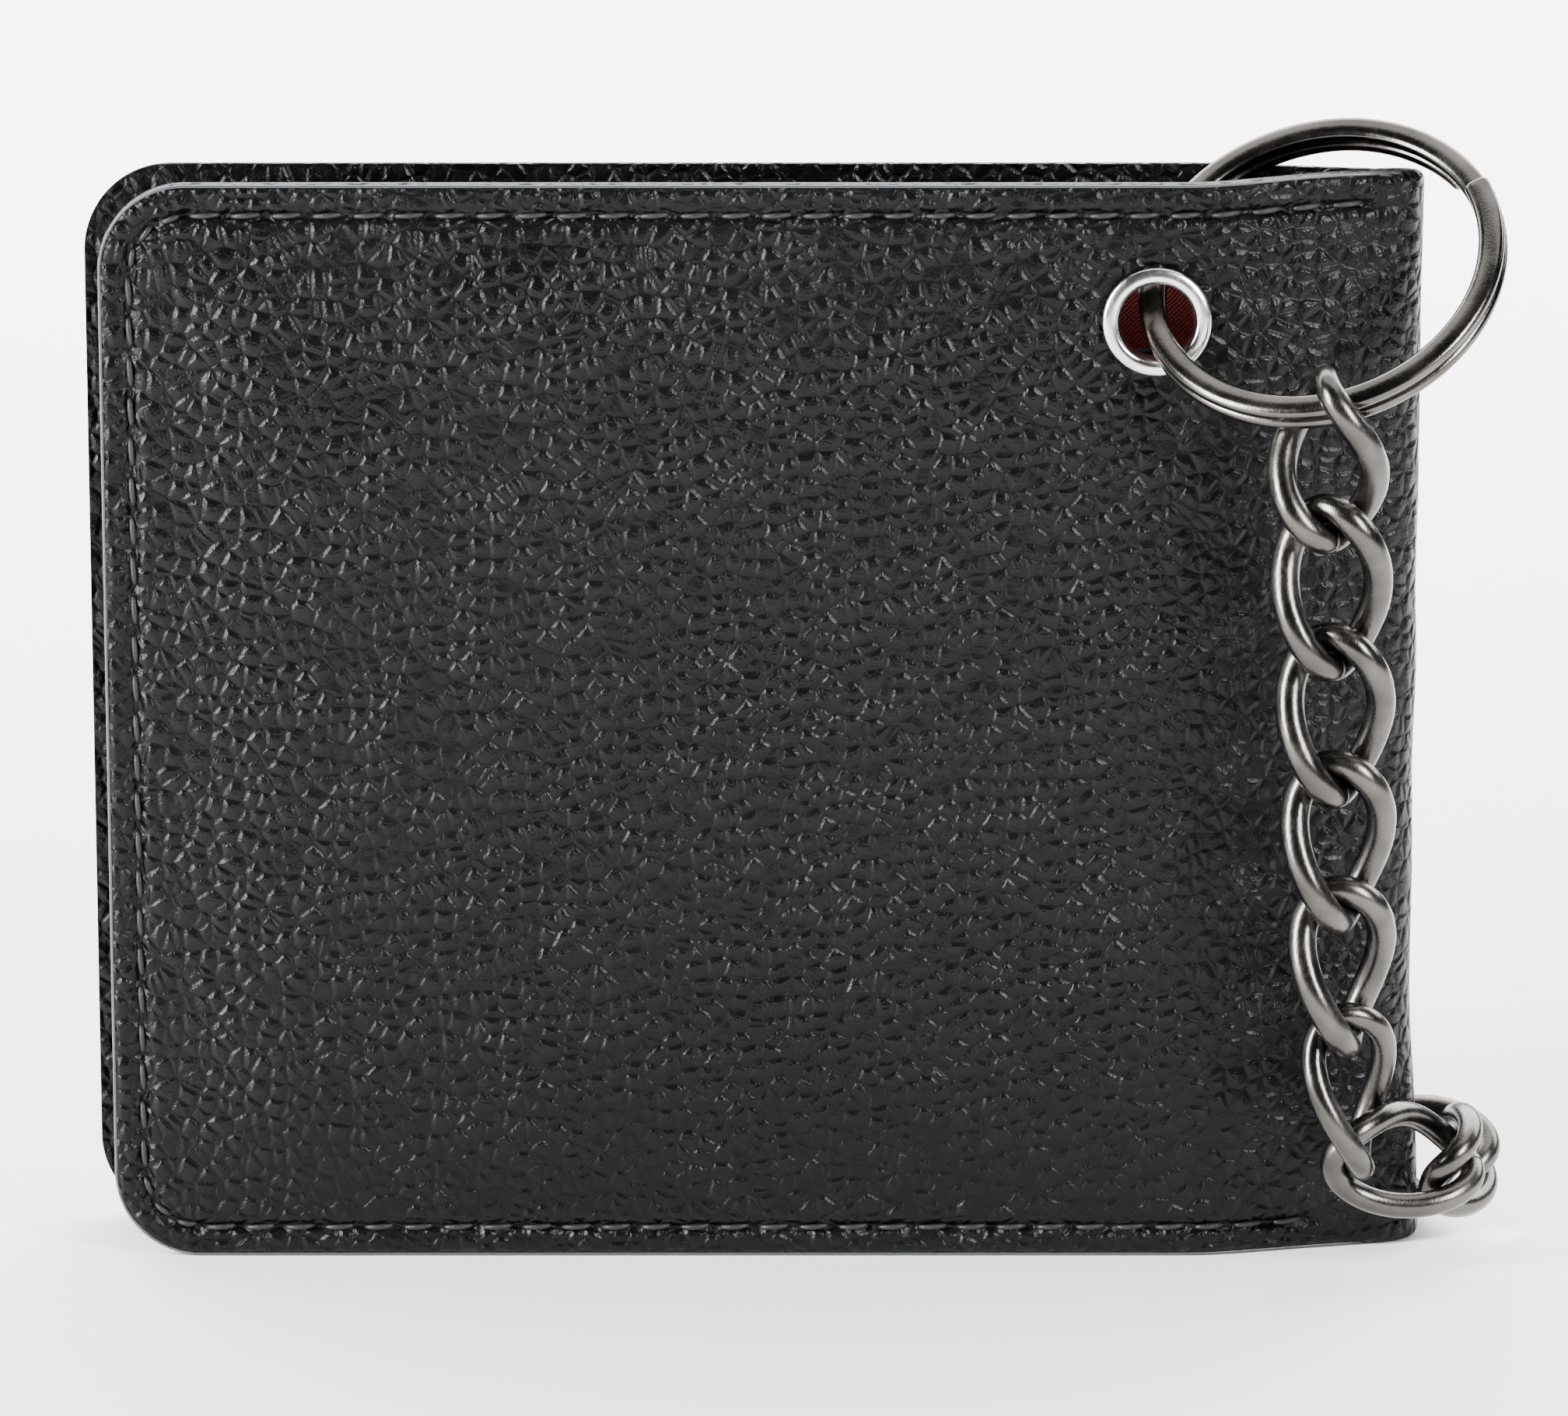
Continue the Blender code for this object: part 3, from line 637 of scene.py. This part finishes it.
# Direction a link's width points in, where the chain turns round the fold.
ROLL = {2: (0.995, 0.105, 0.0), 3: (0.970, 0.242, 0.0), 4: (0.914, 0.407, 0.0),
        5: (0.799, 0.602, 0.0), 6: (0.640, 0.755, 0.142), 7: (0.047, 0.298, 0.953),
        8: (0.042, 0.206, 0.978), 9: (0.041, 0.189, 0.981), 10: (-0.007, 0.065, 0.998),
        11: (-0.029, -0.092, 0.995)}


def link(number):
    """A curb link: an oval of round wire, twisted along its length."""
    start, end = HANG[number - 1], np.array(SLACK.get(number, HANG[number]), float)
    usual = (1.0, 0.0, 0.0) if number < 11 else (0.0, 0.0, 1.0)
    across = np.array(ROLL.get(number, usual), float)
    first = math.radians(90.0 if number == 1 else 45.0)
    last = -math.radians(45.0)
    along = unit(end - start)
    width = unit(across - along * across.dot(along))
    side = np.cross(along, width)
    middle = (start + end) / 2
    half_long, half_wide = 6.97, 4.0
    wire = 1.12 if 6 <= number <= 10 else 1.28      # thinner where the chain turns
    joint = math.pi + 0.06                # where the wire's two ends meet, a slight notch
    angles = [a for a in np.arange(84) * math.tau / 84 if abs(a - joint) > 0.05]
    angles = sorted(angles + [joint + d for d in (-0.035, -0.016, 0.0, 0.016, 0.035)])

    def at(angle):
        q = -half_long * math.cos(angle)
        w = half_wide * math.sin(angle) * (1.0 + 0.10 * math.cos(angle) ** 2)
        turn = first + (last - first) * (q / half_long + 1.0) / 2
        return middle + along * q + (width * math.cos(turn) + side * math.sin(turn)) * w

    rings = []
    for angle in angles:
        point, ahead = at(angle), unit(at(angle + 0.02) - at(angle - 0.02))
        out = point - middle
        out = unit(out - ahead * out.dot(ahead))
        up = np.cross(ahead, out)
        r = wire * (0.90 if abs(angle - joint) < 0.001 else 1.0)
        if number == 1:
            r -= 0.20 * math.exp(-(math.remainder(angle, math.tau) / 0.7) ** 2)
        rings.append([point + (out * math.cos(t) + up * math.sin(t)) * r
                      for t in np.arange(18) * math.tau / 18])
    parts = Parts().rings(rings, closed=True)
    new_piece("link_%02d_bar" % number, parts.verts, parts.faces, CHAIN,
              "link_%02d" % number, ("chain_link_%02d" % number,))


def snap():
    """Swivel eye with its post, hook body on a collar, and the sprung lever."""
    hang, droop = HANG[-1], math.radians(-6.0)

    def at(along, up, out=0.0):
        """Point along the snap's own axis, which runs towards the free edge."""
        c, s = math.cos(droop), math.sin(droop)
        return hang + np.array([-along * c + up * s, out, along * s + up * c])

    axis = unit(at(1.0, 0.0) - at(0.0, 0.0))
    rise = np.array([0.0, 0.0, 1.0])
    eye_radius, eye_wire, play = 4.0, 1.1, 0.15
    centre = eye_radius - eye_wire - play
    parts = Parts()
    parts.tube([at(centre + eye_radius * math.cos(t), 0.0, eye_radius * math.sin(t))
                for t in np.arange(60) * math.tau / 60], eye_wire, 16, closed=True, first=rise)
    root = centre + eye_radius
    parts.tube([at(root + 0.4, 0.0), at(root + 1.0, 0.0), at(root + 1.5, 0.0)],
               [1.5, 1.25, 0.95], 24, first=rise)
    parts.tube([at(root + 1.0, 0.0), at(root + 7.2, 0.0)], 0.9, 24, first=rise)
    parts.tube([at(root + a, 0.0) for a in (6.1, 6.25, 7.2, 7.5)], [1.5, 1.7, 1.7, 1.35], 24,
               first=rise)
    new_piece("swivel_eye", parts.verts, parts.faces, SNAP, "eye", ("snap_eye",))

    collar = root + 1.6
    parts = Parts()
    profile = [(1.2, 0.0), (2.7, 0.0), (3.15, 0.5), (3.15, 1.0), (2.95, 1.2), (2.95, 2.8),
               (3.15, 3.0), (3.15, 3.5), (2.7, 4.0), (1.2, 4.0)]
    parts.lathe(rounded(profile, 0.14, 3), at(collar, 0.0), axis, 64)
    stem = collar + 3.0
    shank = ((0.0, -2.3), (1.2, -3.3), (2.6, -4.2), (4.6, -4.9), (7.0, -5.2), (9.5, -5.25),
             (12.0, -5.2))
    bend = 5.2
    route = [at(stem + a, 0.0, y) for a, y in shank]
    route += [at(stem + 14.0 + bend * math.cos(t), 0.0, bend * math.sin(t))
              for t in np.radians(np.linspace(-90.0, 90.0, 25))]
    route += [at(stem + 12.9, 0.0, 5.2), at(stem + 12.2, 0.0, 5.15)]
    radii = [1.6, 1.55, 1.45, 1.32, 1.25, 1.25, 1.25] + [1.3] * 25 + [1.2, 1.0]
    parts.tube(route, radii, 18, first=rise)
    lug = ((2.2, 2.2), (3.6, 3.1), (4.9, 3.9), (5.2, 4.05))
    parts.tube([at(collar + a, 0.0, y) for a, y in lug],
               [1.1, 1.05, 0.98, 0.7], 18, first=rise)
    new_piece("snap_body", parts.verts, parts.faces, SNAP, "hook", ("snap_hook",))
    parts = Parts()
    start, end = at(collar + 6.5, 0.0, 4.35), at(stem + 11.7, 0.0, 5.2)
    parts.tube([start + (end - start) * t for t in (0.0, 0.04, 0.12, 0.5, 0.9, 0.97, 1.0)],
               [0.6, 0.9, 1.0, 1.0, 1.0, 0.9, 0.6], 18, first=rise)
    new_piece("snap_lever", parts.verts, parts.faces, SNAP, "gate", ("snap_gate",))


# ---- build -------------------------------------------------------------------
POCKETS = ((2.5, 2.0, 70.0), (1.7, 1.2, 58.0), (0.9, 0.4, 46.0))    # outer, inner face; top

outer_wrap()
for side, left, facing in (("front", FRONT_LEFT, -1.0), ("back", BACK_LEFT, 1.0)):
    body = side + "_half"
    stitches(side + "_seam", left, facing, body, side + "_stitching")
    edge_highlight_bead(side + "_edge_highlight_bead", left, facing, body)
    inside = left + 2.0
    ply(side + "_lining_cloth", (inside + 4.0, 48.2), (5.3, 4.9), (1.5, HEIGHT - 7.2), facing,
        body, LINING, side + "_lining", corner=6.0, hem=False, seed=21,
        hole=5.3 if side == "front" else None)
    ply(side + "_bill_cloth", (inside, 49.0), (4.3, 3.9), (1.5, 79.0), facing, body, LINING,
        side + "_bill_lining", corner=5.0, hem=False, seed=22)
    ply(side + "_panel", (inside, 49.0), (3.6, 2.8), (1.5, 79.4), facing, body, INNER,
        side + "_inner_panel", corner=5.0, hem=True, seed=23)
    for row, (near, far, top) in enumerate(POCKETS, 1):
        ply("%s_card_pocket_%d" % (side, row), (inside + 1.0, 38.0), (near, far), (2.0, top),
            facing, body, INNER, "%s_pocket_%d" % (side, row),
            corner=3.0, hem=True, seed=23)
eyelet()
key_ring()
for number in range(1, 16):
    link(number)
snap()


# ---- floor, lights, camera ---------------------------------------------------
def stage():
    """A plain pale floor."""
    mesh = bpy.data.meshes.new("floor")
    size = 6.0
    mesh.from_pydata([(-size, -size, 0), (size, -size, 0), (size, size, 0), (-size, size, 0)], [],
                     [(0, 1, 2, 3)])
    look = Look("floor", Roughness=0.9, Specular_IOR_Level=0.1)
    look.shader.inputs["Base Color"].default_value = (0.86, 0.86, 0.86, 1.0)
    mesh.materials.append(look.mat)
    floor = bpy.data.objects.new("floor", mesh)
    bpy.context.scene.collection.objects.link(floor)


def softbox(name, where, aim, size, power):
    """Rectangular area light; metres and watts."""
    lamp = bpy.data.lights.new(name, "AREA")
    lamp.shape, lamp.size, lamp.size_y, lamp.energy = "RECTANGLE", size[0], size[1], power
    obj = bpy.data.objects.new(name, lamp)
    obj.location = where
    obj.rotation_euler = (Vector(aim) - Vector(where)).to_track_quat("-Z", "Y").to_euler()
    bpy.context.scene.collection.objects.link(obj)


def camera():
    """A long lens, a little above the wallet and square to its front."""
    target = Vector(place((1.8, 0.0, 47.9)))
    lift, distance = math.radians(12.0), 0.650
    cam = bpy.data.cameras.new("camera")
    cam.lens, cam.sensor_width, cam.clip_end = 169.9, 36.0, 50.0
    obj = bpy.data.objects.new("camera", cam)
    obj.location = target + Vector((0.0, -math.cos(lift), math.sin(lift))) * distance
    obj.rotation_euler = (target - obj.location).to_track_quat("-Z", "Y").to_euler()
    bpy.context.scene.collection.objects.link(obj)
    bpy.context.scene.camera = obj


world = bpy.data.worlds.new("studio")
world.use_nodes = True
sky = world.node_tree.nodes["Background"].inputs
sky["Color"].default_value = (1.0, 1.0, 1.0, 1.0)
sky["Strength"].default_value = 0.05
bpy.context.scene.world = world
stage()
softbox("left_softbox", (-0.64, -0.34, 0.30), (-0.04, 0.0, 0.07), (0.22, 0.50), 26.0)
softbox("right_softbox", (0.36, -0.38, 0.30), (0.045, 0.0, 0.085), (0.14, 0.24), 6.0)
softbox("top_softbox", (0.05, 0.15, 0.80), (0.0, 0.0, 0.05), (0.90, 0.60), 6.0)
softbox("floor_light", (0.0, 1.0, 0.55), (0.0, 1.0, 0.0), (2.6, 1.5), 128.0)
camera()
